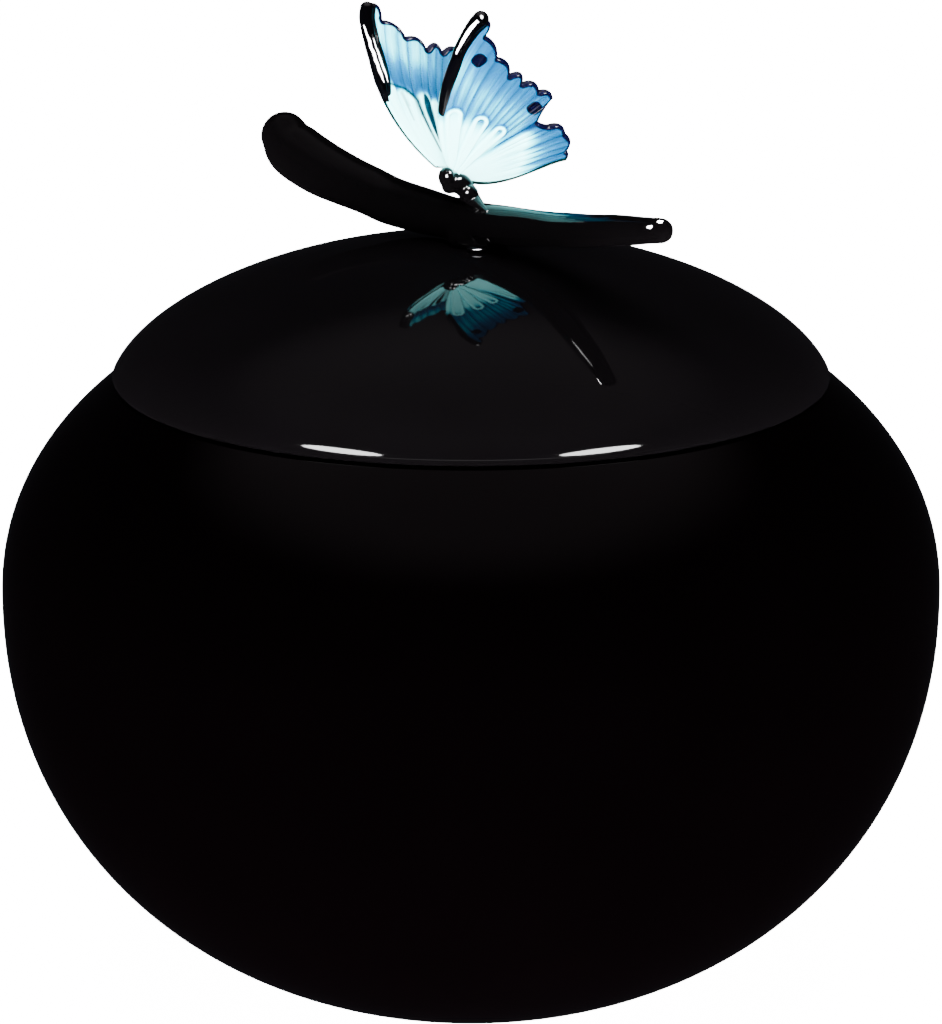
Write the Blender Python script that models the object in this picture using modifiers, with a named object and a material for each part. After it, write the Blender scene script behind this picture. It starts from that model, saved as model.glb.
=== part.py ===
"""Black glass urn with a lift-off lid, a twig for a handle and a blue butterfly. Metres, +Z up."""
import math

import bmesh
import bpy
from mathutils import Euler, Vector

COLLECTION = "funeral_urn"

# Turned pieces: the vessel's outside, its inside and its foot
TURN_STEPS = 48
EQUATOR_RADIUS = 0.110
EQUATOR_HEIGHT = 0.09625
BELLY_HEIGHT = 0.1006
BELLY_POWER = 2.135
SHOULDER_HEIGHT = 0.0734
SHOULDER_POWER = 2.10
WALL = 0.005
INSIDE_BELLY_HEIGHT = 0.08875
INSIDE_BELLY_POWER = 2.3
INSIDE_SHOULDER_HEIGHT = 0.07016
FOOT_RADIUS = 0.0353
FOOT_RING_WIDTH = 0.007
RECESS_DEPTH = 0.0015
MOUTH_HEIGHT = 0.1460
MOUTH_RADIUS = 0.0765
LAND_RADIUS = 0.0829
SHOULDER_TOP = 0.1455

# The lid: a domed shell with a rounded rim and a collar that drops into the mouth
GAP = 0.0003
LID_RADIUS = 0.08402
LID_BASE = 0.14575
LID_RISE = 0.03255
LID_POWER = 1.987
LID_FULLNESS = 1 / 1.596
RIM_RADIUS = 0.0013
RIM_CENTRE = 0.0822
COLLAR_OUTER = 0.0755
COLLAR_WALL = 0.004
COLLAR_BOTTOM = 0.1390

# The twig: a bent rod, fat at one end, with its route as (x, y, z, radius)
TWIG_SIDES = 12
TWIG_ROUTE = (
    (-0.0445, 0.0451, 0.1946, 0.0057),
    (-0.0421, 0.0428, 0.1917, 0.0067),
    (-0.0363, 0.0374, 0.1888, 0.0066),
    (-0.0298, 0.0311, 0.1867, 0.0062),
    (-0.0242, 0.0256, 0.1854, 0.0060),
    (-0.0166, 0.0180, 0.1837, 0.0057),
    (-0.0014, 0.0005, 0.1836, 0.0049),
    (0.0180, -0.0200, 0.1861, 0.0043),
    (0.0292, -0.0350, 0.1891, 0.0038),
    (0.0424, -0.0515, 0.1927, 0.0031),
)
TWIG_FOOT_CENTRE = (0.0016, -0.0012, 0.1802)
TWIG_FOOT_SIZE = (0.0075, 0.0062, 0.0040)

# The butterfly's body: a round head, and a spine given as (x, y, z, radius)
HEAD_CENTRE = (-0.0054, -0.0030, 0.1944)
HEAD_RADIUS = 0.0021
SPINE = (
    (-0.0050, -0.0027, 0.1926, 0.0019),
    (-0.0028, -0.0011, 0.1927, 0.0025),
    (-0.0008, 0.0002, 0.1906, 0.0022),
    (0.0014, 0.0012, 0.1882, 0.0017),
    (0.0040, 0.0019, 0.1864, 0.0010),
)

# A wing in its own plane: x runs forward, y outward, and each lobe swells past its notches
WING_THICKNESS = 0.0017
WING_NOTCHES = (
    (0.0305, 0.0292),
    (0.0240, 0.0272),
    (0.0172, 0.0256),
    (0.0112, 0.0247),
    (0.0071, 0.0255),
    (0.0023, 0.0270),
    (-0.0017, 0.0281),
    (-0.0042, 0.0217),
    (-0.0071, 0.0230),
    (-0.0118, 0.0243),
    (-0.0158, 0.0218),
    (-0.0178, 0.0198),
)
LOBE_SWELL = (0.0022, 0.0011, 0.0014, 0.0019, 0.0015, 0.0011, -0.0004, -0.0002, 0.0014, 0.0011, 0.0006)
WING_ROOT = (-0.0008, -0.0018)
ROOT_START = 0.06
LEADING_BOW = 0.0049
TRAILING_BOW = 0.0042
WING_CAMBER = 0.0010
FLUTE_HEIGHT = 0.0004
LOBE_COLUMNS = 4
WING_ROWS = 6
PETALS = (
    (0.0131, 0.0106),
    (0.0071, 0.0134),
    (0.0005, 0.0148),
)
PETAL_WIDTH = 0.0048
PETAL_HEIGHT = 0.0006
BEAD_SIDES = 8
# The rod along each wing's leading edge, in the wing's plane, as (x, y, z, radius)
BEADS = {
    "near_wing": (
        (0.0169, 0.0102, 0.0009, 0.0007),
        (0.0188, 0.0121, 0.0010, 0.0010),
        (0.0220, 0.0165, 0.0010, 0.0012),
        (0.0252, 0.0209, 0.0008, 0.0013),
        (0.0275, 0.0260, 0.0004, 0.0016),
        (0.0283, 0.0292, 0.0000, 0.0020),
    ),
    "far_wing": (
        (0.0185, 0.0117, 0.0010, 0.0010),
        (0.0201, 0.0142, 0.0010, 0.0016),
        (0.0226, 0.0182, 0.0009, 0.0016),
        (0.0252, 0.0220, 0.0007, 0.0016),
        (0.0275, 0.0260, 0.0004, 0.0016),
        (0.0281, 0.0286, 0.0001, 0.0017),
    ),
}
WING_PLACES = {
    "near_wing": ((-0.0037, -0.0015, 0.1960), (60.6, -42.5, -142.0), 1.0),
    "far_wing": ((-0.0061, 0.0005, 0.1962), (110.4, -24.3, -155.3), 1.02),
}


def material(name, colour, roughness):
    """A plain Principled material."""
    made = bpy.data.materials.new(name)
    made.use_nodes = True
    shader = made.node_tree.nodes["Principled BSDF"]
    shader.inputs["Base Color"].default_value = (*colour, 1.0)
    shader.inputs["Roughness"].default_value = roughness
    shader.inputs["Metallic"].default_value = 0.0
    return made


def add_object(name, data, collection, surface=None):
    """Link a new object that holds this mesh or curve."""
    made = bpy.data.objects.new(name, data)
    collection.objects.link(made)
    if surface is not None:
        data.materials.append(surface)
    return made


def quarter(radius, height, power, start, stop, count):
    """Points of a full rounded quarter, between two angles in degrees above its equator."""
    points = []
    for index in range(count):
        angle = math.radians(start + (stop - start) * index / (count - 1))
        across = radius * math.cos(angle) ** (2 / power)
        up = math.copysign(height * abs(math.sin(angle)) ** (2 / power), angle)
        points.append((max(across, 0.0), up))
    return points


def angle_at_height(height, rise, power):
    """The quarter's angle in degrees where it has risen this far."""
    return math.degrees(math.asin(min(1.0, abs(rise) / height) ** (power / 2)))


def dome_height(across, lift=0.0):
    """The lid's outer surface at this distance from the axis."""
    inside = max(0.0, 1 - (across / LID_RADIUS) ** LID_POWER)
    return LID_BASE + LID_RISE * inside ** LID_FULLNESS + lift


def vessel_profile():
    """From the middle of the floor up the inside, over the mouth and down the outside."""
    inside_radius = EQUATOR_RADIUS - WALL
    points = []
    for across, up in quarter(inside_radius, INSIDE_BELLY_HEIGHT, INSIDE_BELLY_POWER, -90, 0, 7):
        points.append((across, EQUATOR_HEIGHT + up))
    top = angle_at_height(INSIDE_SHOULDER_HEIGHT, MOUTH_HEIGHT - 0.0006 - EQUATOR_HEIGHT, SHOULDER_POWER)
    for across, up in quarter(inside_radius, INSIDE_SHOULDER_HEIGHT, SHOULDER_POWER, 0, top, 5)[1:]:
        points.append((across, EQUATOR_HEIGHT + up))
    points.append((MOUTH_RADIUS + 0.0004, MOUTH_HEIGHT))
    points.append((LAND_RADIUS, MOUTH_HEIGHT))
    top = angle_at_height(SHOULDER_HEIGHT, SHOULDER_TOP - EQUATOR_HEIGHT, SHOULDER_POWER)
    for across, up in quarter(EQUATOR_RADIUS, SHOULDER_HEIGHT, SHOULDER_POWER, top, 0, 7):
        points.append((across, EQUATOR_HEIGHT + up))
    low = -angle_at_height(BELLY_HEIGHT, EQUATOR_HEIGHT - 0.0003, BELLY_POWER)
    for across, up in quarter(EQUATOR_RADIUS, BELLY_HEIGHT, BELLY_POWER, 0, low, 10)[1:]:
        points.append((across, EQUATOR_HEIGHT + up))
    points.append((FOOT_RADIUS, 0.0))
    points.append((FOOT_RADIUS - FOOT_RING_WIDTH, 0.0))
    points.append((FOOT_RADIUS - FOOT_RING_WIDTH - RECESS_DEPTH, RECESS_DEPTH))
    points.append((0.0, RECESS_DEPTH))
    return points


def lid_profile():
    """From the middle of the dome down the outside, round the rim and collar and up inside."""
    points = []
    for index in range(9):
        across = (RIM_CENTRE + RIM_RADIUS * 0.9) * math.sin(math.radians(90) * index / 8)
        points.append((across, dome_height(across)))
    rim_height = MOUTH_HEIGHT + GAP + RIM_RADIUS
    for index in range(5):
        angle = math.radians(10 - 100 * index / 4)
        across = RIM_CENTRE + RIM_RADIUS * math.cos(angle)
        points.append((across, rim_height + RIM_RADIUS * math.sin(angle)))
    points.append((COLLAR_OUTER, MOUTH_HEIGHT + GAP))
    points.append((COLLAR_OUTER, COLLAR_BOTTOM))
    inner = COLLAR_OUTER - COLLAR_WALL
    points.append((inner, COLLAR_BOTTOM))
    for index in range(8):
        across = inner * math.cos(math.radians(90) * index / 7)
        depth = WALL * (1 + 0.12 * across / inner)
        points.append((max(across, 0.0) if index < 7 else 0.0, dome_height(across) - depth))
    return points


def turned(name, profile, collection, surface=None, steps=TURN_STEPS):
    """A profile in the XZ plane, turned about Z."""
    mesh = bpy.data.meshes.new(name)
    mesh.from_pydata([(x, 0.0, z) for x, z in profile], [(i, i + 1) for i in range(len(profile) - 1)], [])
    made = add_object(name, mesh, collection, surface)
    screw = made.modifiers.new("turn", "SCREW")
    screw.steps = steps
    screw.render_steps = steps
    screw.use_merge_vertices = True
    screw.merge_threshold = 0.00001
    screw.use_smooth_shade = True
    return made


def smooth_route(route, count):
    """Points read from a smooth curve through the route, each as a vector of four."""
    samples = []
    spans = len(route) - 1
    for index in range(count):
        place = spans * index / (count - 1)
        span = min(int(place), spans - 1)
        step = place - span
        corners = [Vector(route[max(0, min(spans, span + k))]) for k in (-1, 0, 1, 2)]
        before, start, stop, after = corners
        pull = (stop - before) * 0.5
        push = (after - start) * 0.5
        square = step * step
        cube = square * step
        samples.append(
            start * (2 * cube - 3 * square + 1)
            + pull * (cube - 2 * square + step)
            + stop * (3 * square - 2 * cube)
            + push * (cube - square)
        )
    return samples


def round_ends(samples, grow):
    """Close both ends of a rod with half balls, as further rings of falling radius."""
    rings = [(Vector(s[:3]), s[3] + grow) for s in samples]
    for end, beside in ((0, 1), (-1, -2)):
        centre, radius = rings[end]
        outward = (centre - rings[beside][0]).normalized()
        for angle in (30, 60, 85):
            turn = math.radians(angle)
            ring = (centre + outward * radius * math.sin(turn), radius * math.cos(turn))
            if end == 0:
                rings.insert(0, ring)
            else:
                rings.append(ring)
    return rings


def rod(name, rings, sides, collection, surface=None):
    """A curve with a bevel whose radius changes along it, made a closed mesh."""
    curve = bpy.data.curves.new(name, "CURVE")
    curve.dimensions = "3D"
    curve.bevel_depth = 1.0
    curve.bevel_resolution = (sides - 4) // 2
    curve.use_fill_caps = True
    spline = curve.splines.new("POLY")
    spline.points.add(len(rings) - 1)
    for point, (centre, radius) in zip(spline.points, rings):
        point.co = (*centre, 1.0)
        point.radius = radius
    holder = add_object(name + "_curve", curve, collection)
    depsgraph = bpy.context.evaluated_depsgraph_get()
    mesh = bpy.data.meshes.new_from_object(holder.evaluated_get(depsgraph))
    bpy.data.objects.remove(holder)
    work = bmesh.new()
    work.from_mesh(mesh)
    bmesh.ops.remove_doubles(work, verts=work.verts, dist=0.000002)
    bmesh.ops.recalc_face_normals(work, faces=work.faces)
    work.to_mesh(mesh)
    work.free()
    mesh.shade_smooth()
    return add_object(name, mesh, collection, surface)


def ball(name, centre, sizes, collection, segments=14):
    """A ball scaled to three half sizes."""
    mesh = bpy.data.meshes.new(name)
    work = bmesh.new()
    bmesh.ops.create_uvsphere(work, u_segments=segments, v_segments=segments // 2 + 1, radius=1.0)
    for vert in work.verts:
        vert.co = [c + v * s for c, v, s in zip(centre, vert.co, sizes)]
    work.to_mesh(mesh)
    work.free()
    return add_object(name, mesh, collection)


def combine(target, other, operation):
    """Join or cut the target with another object, which stays hidden as a guide."""
    step = target.modifiers.new(operation.lower(), "BOOLEAN")
    step.operation = operation
    step.object = other
    step.solver = "EXACT"
    other.hide_render = True
    other.display_type = "WIRE"


def wing_margin(lobe, along):
    """The wing's outer edge within one lobe, as forward and outward."""
    start = Vector(WING_NOTCHES[lobe])
    stop = Vector(WING_NOTCHES[lobe + 1])
    chord = stop - start
    outward = Vector((chord.y, -chord.x)).normalized()
    return start + chord * along + outward * LOBE_SWELL[lobe] * math.sin(math.pi * along)


def wing_point(across, out):
    """A point of the wing's plane: across runs from 0 to 1 round the margin, out from the root."""
    place = across * len(LOBE_SWELL)
    lobe = min(int(place), len(LOBE_SWELL) - 1)
    edge = wing_margin(lobe, place - lobe)
    root = Vector(WING_ROOT)
    chord = edge - root
    sideways = Vector((chord.y, -chord.x)).normalized()
    leading = LEADING_BOW * max(0.0, 1 - across / 0.45) ** 2 * 4 * out * (1 - out)
    trailing = TRAILING_BOW * max(0.0, (across - 0.7) / 0.3) ** 2 * 5.4 * out * (1 - out) ** 1.5
    return root + chord * out + sideways * (leading - trailing)


def wing_relief(across, out, point):
    """How far flutes and petals stand out from the wing, on both of its faces."""
    ridge = abs(math.sin(math.pi * across * len(LOBE_SWELL)))
    height = FLUTE_HEIGHT * ridge * out * out
    root = Vector(WING_ROOT)
    for tip in PETALS:
        axis = Vector(tip) - root
        along = (point - root).dot(axis) / axis.length_squared
        if 0.0 < along < 1.0:
            aside = abs((point - root).cross(axis)) / axis.length
            half = PETAL_WIDTH * 0.5 * math.sin(math.pi * along ** 1.6) ** 0.5
            height += PETAL_HEIGHT * min(1.0, 2 * along) * max(0.0, 1 - aside / half) ** 0.5
    return height


def wing_camber(out):
    """How far the wing's middle stands off its plane."""
    return WING_CAMBER * 4 * out * (1 - out)


def wing_sheet(name, collection, surface):
    """A slab of a grid, whose upper and lower points are moved to the wing's two faces."""
    mesh = bpy.data.meshes.new(name)
    work = bmesh.new()
    columns = LOBE_COLUMNS * len(LOBE_SWELL)
    bmesh.ops.create_grid(work, x_segments=columns, y_segments=WING_ROWS, size=0.5)
    drawn = bmesh.ops.extrude_face_region(work, geom=work.faces[:])
    lower = [item for item in drawn["geom"] if isinstance(item, bmesh.types.BMVert)]
    bmesh.ops.translate(work, verts=lower, vec=(0.0, 0.0, -1.0))
    for vert in work.verts:
        across = vert.co.x + 0.5
        out = ROOT_START + (1 - ROOT_START) * (vert.co.y + 0.5)
        face = -1 if vert.co.z < 0 else 1
        point = wing_point(across, out)
        half = WING_THICKNESS / 2 + wing_relief(across, out, point)
        vert.co = (point.x, point.y, wing_camber(out) + face * half)
    bmesh.ops.recalc_face_normals(work, faces=work.faces)
    work.to_mesh(mesh)
    work.free()
    mesh.shade_smooth()
    mesh.set_sharp_from_angle(angle=math.radians(50))
    return add_object(name, mesh, collection, surface)


def bead(wing, collection):
    """The glossy rod along a wing's leading edge, which thickens towards the tip."""
    rings = round_ends(smooth_route(BEADS[wing], 7), 0.0)
    return rod(wing + "_bead", rings, BEAD_SIDES, collection)


def make_wing(name, collection, guides, surface, body_space):
    """One wing with its bead, turned, moved to its place and fitted round the body."""
    place, turn, size = WING_PLACES[name]
    wing = wing_sheet(name, collection, surface)
    edge = bead(name, guides)
    combine(wing, edge, "UNION")
    for piece in (wing, edge):
        piece.location = place
        piece.rotation_euler = Euler([math.radians(angle) for angle in turn])
        piece.scale = (size, size, size)
    combine(wing, body_space, "DIFFERENCE")
    return wing


def make_twig(collection, guides, surface):
    """The twig with the small glass foot that seats it on the lid's dome."""
    rings = round_ends(smooth_route(TWIG_ROUTE, 21), 0.0)
    twig = rod("twig_handle", rings, TWIG_SIDES, collection, surface)
    combine(twig, ball("twig_foot", TWIG_FOOT_CENTRE, TWIG_FOOT_SIZE, guides), "UNION")
    profile = []
    for index in range(6):
        across = 0.016 * index / 5
        profile.append((across, dome_height(across, GAP)))
    profile.append((0.016, LID_BASE + 0.02))
    profile.append((0.0, LID_BASE + 0.02))
    combine(twig, turned("lid_clearance", profile, guides), "DIFFERENCE")
    return twig


def head_and_spine(name, grow, collection, guides, surface=None):
    """The butterfly's head, thorax and tail in one piece, all round larger by grow."""
    body = rod(name, round_ends(smooth_route(SPINE, 11), grow), 10, collection, surface)
    head = ball(name + "_head", HEAD_CENTRE, (HEAD_RADIUS + grow,) * 3, guides, 12)
    combine(body, head, "UNION")
    return body


def make_butterfly_body(collection, guides, surface):
    """The butterfly's body, seated on the twig."""
    body = head_and_spine("butterfly_body", 0.0, collection, guides, surface)
    twig_space = rod("twig_clearance", round_ends(smooth_route(TWIG_ROUTE, 21), GAP), TWIG_SIDES, guides)
    combine(body, twig_space, "DIFFERENCE")
    return body


def main():
    for old in list(bpy.data.objects):
        bpy.data.objects.remove(old)
    pieces = bpy.data.collections.new(COLLECTION)
    guides = bpy.data.collections.new("cutters")
    for group in (pieces, guides):
        bpy.context.scene.collection.children.link(group)
    black_glass = material("black_glass", (0.006, 0.006, 0.007), 0.05)
    wing_glass = material("wing_glass", (0.32, 0.68, 0.86), 0.12)
    turned("urn_body", vessel_profile(), pieces, black_glass)
    turned("lid", lid_profile(), pieces, black_glass)
    make_twig(pieces, guides, black_glass)
    make_butterfly_body(pieces, guides, black_glass)
    body_space = head_and_spine("body_clearance", GAP, guides, guides)
    body_space.hide_render = True
    for name in WING_PLACES:
        make_wing(name, pieces, guides, wing_glass, body_space)


main()
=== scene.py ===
# The looks of a black glass urn with a twig handle and a blue butterfly, in metres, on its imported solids.
import math

import bmesh
import bpy
import numpy as np
from mathutils import Euler, Matrix, Vector, noise


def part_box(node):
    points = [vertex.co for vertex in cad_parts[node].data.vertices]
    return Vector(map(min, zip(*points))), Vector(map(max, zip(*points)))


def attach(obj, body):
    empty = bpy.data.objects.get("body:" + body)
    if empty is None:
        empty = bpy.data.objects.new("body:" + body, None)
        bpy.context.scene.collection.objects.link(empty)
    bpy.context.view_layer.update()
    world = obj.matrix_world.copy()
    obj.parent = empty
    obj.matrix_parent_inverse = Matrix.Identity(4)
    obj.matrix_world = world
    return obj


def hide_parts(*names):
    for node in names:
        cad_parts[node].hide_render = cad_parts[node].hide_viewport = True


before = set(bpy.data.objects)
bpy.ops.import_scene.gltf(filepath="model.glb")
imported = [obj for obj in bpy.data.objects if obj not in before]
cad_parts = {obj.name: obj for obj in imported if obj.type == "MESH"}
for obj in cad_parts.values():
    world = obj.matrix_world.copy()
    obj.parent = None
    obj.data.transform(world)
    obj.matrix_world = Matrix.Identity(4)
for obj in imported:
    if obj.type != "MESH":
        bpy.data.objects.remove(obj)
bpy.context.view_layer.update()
BODY = "root"
UP = Vector((0.0, 0.0, 1.0))

# The photograph's camera
CAMERA_DISTANCE = 1.5
CAMERA_ELEVATION = math.radians(15)
CAMERA_LENS = 225.0
CAMERA_AIM = 0.11384

# The turned vessel: full curves with named powers above and below its widest ring, outside and inside
TURN_STEPS = 224
EQUATOR_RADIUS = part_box("urn_body")[1].x
EQUATOR_HEIGHT = 0.09625
BELLY_HEIGHT = 0.1006
BELLY_POWER = 2.135
SHOULDER_HEIGHT = 0.0734
SHOULDER_POWER = 2.10
WALL = 0.005
INSIDE_BELLY_HEIGHT = 0.08875
INSIDE_BELLY_POWER = 2.3
INSIDE_SHOULDER_HEIGHT = 0.07016
FOOT_RADIUS = 0.0353
FOOT_RING_WIDTH = 0.007
RECESS_DEPTH = 0.0015
MOUTH_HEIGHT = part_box("urn_body")[1].z
MOUTH_RADIUS = 0.0765
LAND_RADIUS = 0.0829
SHOULDER_TOP = 0.1455
LIP_ROUND = 0.0005
# The inside ends this far under the mouth, the land runs on this far, and the belly stops this far up
INNER_LIP_DROP = 0.0006
LAND_MARGIN = 0.0004
BELLY_LIFT = 0.0003

# The turned lid: a dome, a round rim that stands a gap off the vessel, and a collar that hangs in its mouth
GAP = 0.0003
LID_RADIUS = 0.08402
LID_BASE = 0.14575
LID_RISE = 0.03255
LID_POWER = 1.987
LID_FULLNESS = 1 / 1.596
RIM_RADIUS = 0.0013
RIM_CENTRE = 0.0822
RIM_JOIN = 0.93
RIM_START_DEGREES = 12
RIM_SWEEP_DEGREES = 102
LID_WALL_SWELL = 0.12
COLLAR_OUTER = 0.0755
COLLAR_WALL = 0.004
COLLAR_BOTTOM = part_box("lid")[0].z
DOME_STEPS = 59
RIM_STEPS = 8
UNDERSIDE_STEPS = 39
MERGE = 0.000001

# The twig's route, as (x, y, z, radius)
TWIG_ROUTE = (
    (-0.0445, 0.0451, 0.1946, 0.0057),
    (-0.0421, 0.0428, 0.1917, 0.0067),
    (-0.0363, 0.0374, 0.1888, 0.0066),
    (-0.0298, 0.0311, 0.1867, 0.0062),
    (-0.0242, 0.0256, 0.1854, 0.0060),
    (-0.0166, 0.0180, 0.1837, 0.0057),
    (-0.0014, 0.0005, 0.1836, 0.0049),
    (0.0180, -0.0200, 0.1861, 0.0043),
    (0.0292, -0.0350, 0.1891, 0.0038),
    (0.0424, -0.0515, 0.1927, 0.0031),
)
TWIG_END = Vector(TWIG_ROUTE[-1][:3])
TWIG_HEADING = (TWIG_END - Vector(TWIG_ROUTE[-2][:3])).normalized()
TWIG_FOOT_CENTRE = Vector((0.0016, -0.0012, 0.1802))
TWIG_FOOT_SIZE = (0.0075, 0.0062, 0.0040)
# The twig's right end and its tip are pieces of their own, so that lamps can light them alone
TWIG_END_CUT = Vector((0.0265, -0.0316, 0.1883))
TWIG_TIP_LENGTH = 0.0030
CUT_SHARP = 60
# The drop of glass that ran out in front of the foot
DROP_CENTRE = Vector((0.0015, -0.0078, 0.1788))
DROP_SIZE = (0.0026, 0.0018, 0.0008)

# The butterfly's head and chest, and its spine as (x, y, z, radius)
HEAD_CENTRE = Vector((-0.0057, -0.0030, 0.1946))
HEAD_SIZE = (0.0019, 0.0021, 0.0023)
CHEST_CENTRE = Vector((-0.0006, -0.0020, 0.1904))
CHEST_SIZE = (0.0023, 0.0023, 0.0023)
SPINE = (
    (-0.0050, -0.0027, 0.1926, 0.0019),
    (-0.0028, -0.0011, 0.1927, 0.0025),
    (-0.0010, -0.0004, 0.1908, 0.0022),
    (0.0006, -0.0022, 0.1888, 0.0019),
    (0.0022, -0.0052, 0.1880, 0.0013),
    (0.0040, -0.0088, 0.1874, 0.0009),
)

# A wing in its own plane: x runs forward, y outward, and each lobe swells past its notches
WING_THICKNESS = 0.0017
WING_NOTCHES = (
    (0.0293, 0.0291),
    (0.0240, 0.0272),
    (0.0172, 0.0256),
    (0.0112, 0.0247),
    (0.0071, 0.0255),
    (0.0023, 0.0270),
    (-0.0017, 0.0281),
    (-0.0042, 0.0217),
    (-0.0071, 0.0230),
    (-0.0118, 0.0243),
    (-0.0158, 0.0218),
    (-0.0178, 0.0198),
)
LOBE_SWELL = (0.0022, 0.0011, 0.0014, 0.0019, 0.0015, 0.0011, -0.0004, -0.0002, 0.0014, 0.0011, 0.0006)
LOBE_FLUTES = (1, 2, 2, 2, 2, 2, 1, 1, 2, 3, 2)
FORK_LOBE = 7
WING_ROOT = Vector((-0.0008, -0.0018))
ROOT_START = 0.06
# The front and rear edges bow outwards, each over its share of the way round the margin
LEADING_BOW = 0.0058
LEADING_SHARE = 0.45
TRAILING_BOW = 0.0042
TRAILING_SHARE = 0.3
WING_CAMBER = 0.0010
FLUTE_HEIGHT = 0.00042
LOBE_COLUMNS = 24
WING_ROWS = 120
EDGE_ROUND = 0.0008
EDGE_MERGE = 0.0000002
# The rows of a wing's grid lie closer together near the margin, by this power
ROW_POWER = 1.35
MARGIN_STEPS = 600
SIDE_STEPS = 150
# Rounded petals over the root, as (forward, outward, half width, depth of the painted shade in their hollow)
PETALS = ((0.0138, 0.0103, 0.0023, 0.12), (0.0068, 0.0140, 0.0021, 0.55), (0.0006, 0.0155, 0.0018, 0.5))
PETAL_HEIGHT = 0.0005
PETAL_SLOPE = 0.0005
# The hollow within a petal's raised rim, which also carries painted shade: where it begins and is full, and
# how it fades
HOLLOW_DEPTH = 0.0004
HOLLOW_EDGE = (0.0010, 0.0014)
HOLLOW_START = 0.0016
HOLLOW_FADE = 0.0014
# The painted shadow line round a petal, as (distance outside, half width, length), and how far out streaks
# calm
PETAL_SHADOW_LINE = (0.0001, 0.0003, 0.007)
PETAL_SHADOW_TINT = 0.2
CALM_REACH = 0.0012
# The crease between fore and hind wing, and the painted shade along it
GROOVE_DEPTH = 0.00035
GROOVE_WIDTH = 0.16
GROOVE_SHADE = 0.35
# Two round-cornered spots near the margin
SPOTS = (Vector((0.0201, 0.0223)), Vector((-0.0002, 0.0235)))
SPOT_HALF = 0.0017
SPOT_POWER = 2.8
# The inner face has a narrower front line and a wider navy edge, and the bead's black reaches ahead of it
FRONT_LINE_NARROWER = 0.00115
NAVY_WIDER = 0.0004
BLACK_AHEAD = 0.0012
# The numbers kept on a wing's mesh, with distances in millimetres, and the one where a face has no spots
WING_NUMBERS = ("tint", "streaky", "edge", "side", "spot", "vein", "bead")
MILLIMETRES = 1000
NO_SPOT = 9.0
# The inner face's teal veins, as (start, stop, half width at each end, depth), and its dark leaf-shaped cell
VEINS = (
    ((0.0190, 0.0138), (0.0142, 0.0140), 0.0003, 0.0004, 1.0),
    ((0.0142, 0.0140), (0.0107, 0.0128), 0.0004, 0.0006, 1.0),
    ((0.0107, 0.0128), (0.0083, 0.0099), 0.0006, 0.0006, 1.0),
    ((0.0083, 0.0099), (0.0053, 0.0068), 0.0005, 0.0004, 1.0),
    ((0.0053, 0.0068), (0.0018, 0.0032), 0.0004, 0.0002, 0.9),
    ((0.0149, 0.0128), (0.0102, 0.0079), 0.0004, 0.0002, 0.6),
    ((0.0149, 0.0128), (0.0123, 0.0106), 0.0004, 0.0003, 0.5),
)
CELL = ((0.0089, 0.0150), (0.0015, 0.0043))
CELL_WIDTH = 0.0021
CELL_LEAN = 0.0004
CELL_SOFTNESS = 0.0003
VEIN_DEPTH = 0.00005
# Where the white of the root ends on each face, as (place round the margin, share of the way out)
OUTER_WHITE = ((0.0, 0.38), (0.12, 0.42), (0.24, 0.47), (0.46, 0.48), (0.64, 0.52))
INNER_WHITE = (
    (0.0, 0.585),
    (0.14, 0.58),
    (0.18, 0.57),
    (0.22, 0.60),
    (0.26, 0.60),
    (0.31, 0.56),
    (0.36, 0.5),
    (0.64, 0.4),
)
HIND_WHITE = ((0.64, 0.84), (0.72, 0.80), (0.80, 0.66), (0.90, 0.61), (1.0, 0.59))
# The bead along the leading edge, as (forward, outward, lift, radius)
BEADS = {
    "near_wing": (
        (0.0147, 0.0081, 0.0009, 0.0002),
        (0.0158, 0.0090, 0.0009, 0.0005),
        (0.0169, 0.0102, 0.0009, 0.0007),
        (0.0188, 0.0121, 0.0010, 0.0010),
        (0.0220, 0.0165, 0.0010, 0.0012),
        (0.0252, 0.0209, 0.0008, 0.0013),
        (0.0275, 0.0260, 0.0004, 0.0016),
        (0.0283, 0.0292, 0.0000, 0.0019),
    ),
    "far_wing": (
        (0.0185, 0.0117, 0.0010, 0.0010),
        (0.0201, 0.0142, 0.0010, 0.0016),
        (0.0226, 0.0182, 0.0009, 0.0016),
        (0.0252, 0.0220, 0.0007, 0.0016),
        (0.0275, 0.0260, 0.0004, 0.0016),
        (0.0281, 0.0286, 0.0001, 0.0016),
    ),
}
# Where each wing lies, how its plane is turned in degrees, and its size
WING_PLACES = {
    "near_wing": ((-0.0037, -0.0015, 0.1960), (60.6, -42.5, -142.0), 1.0),
    "far_wing": ((-0.0061, 0.0005, 0.1962), (110.4, -24.3, -155.3), 1.02),
}


# Nodes and materials

# The Mix node's factor and its two colours, and where its mixed colour comes out
MIX_SOCKETS = (0, 6, 7)
MIX_RESULT = 2


def new_material(name):
    """A material with an empty node tree but for its Principled shader and its output."""
    made = bpy.data.materials.new(name)
    made.use_nodes = True
    tree = made.node_tree
    return made, tree, tree.nodes["Principled BSDF"]


def add_node(tree, kind, **settings):
    """A node with some of its properties set, and its sockets by name through inputs."""
    made = tree.nodes.new(kind)
    for key, value in settings.pop("inputs", {}).items():
        made.inputs[key].default_value = value
    for key, value in settings.items():
        setattr(made, key, value)
    return made


def ramp(tree, source, stops):
    """A colour ramp over a value, with stops given as (place, colour)."""
    made = tree.nodes.new("ShaderNodeValToRGB")
    elements = made.color_ramp.elements
    while len(elements) > 1:
        elements.remove(elements[-1])
    for index, (place, colour) in enumerate(stops):
        stop = elements[0] if index == 0 else elements.new(place)
        stop.position = place
        stop.color = (*colour, 1.0)
    tree.links.new(source, made.inputs[0])
    return made.outputs["Color"]


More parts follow.
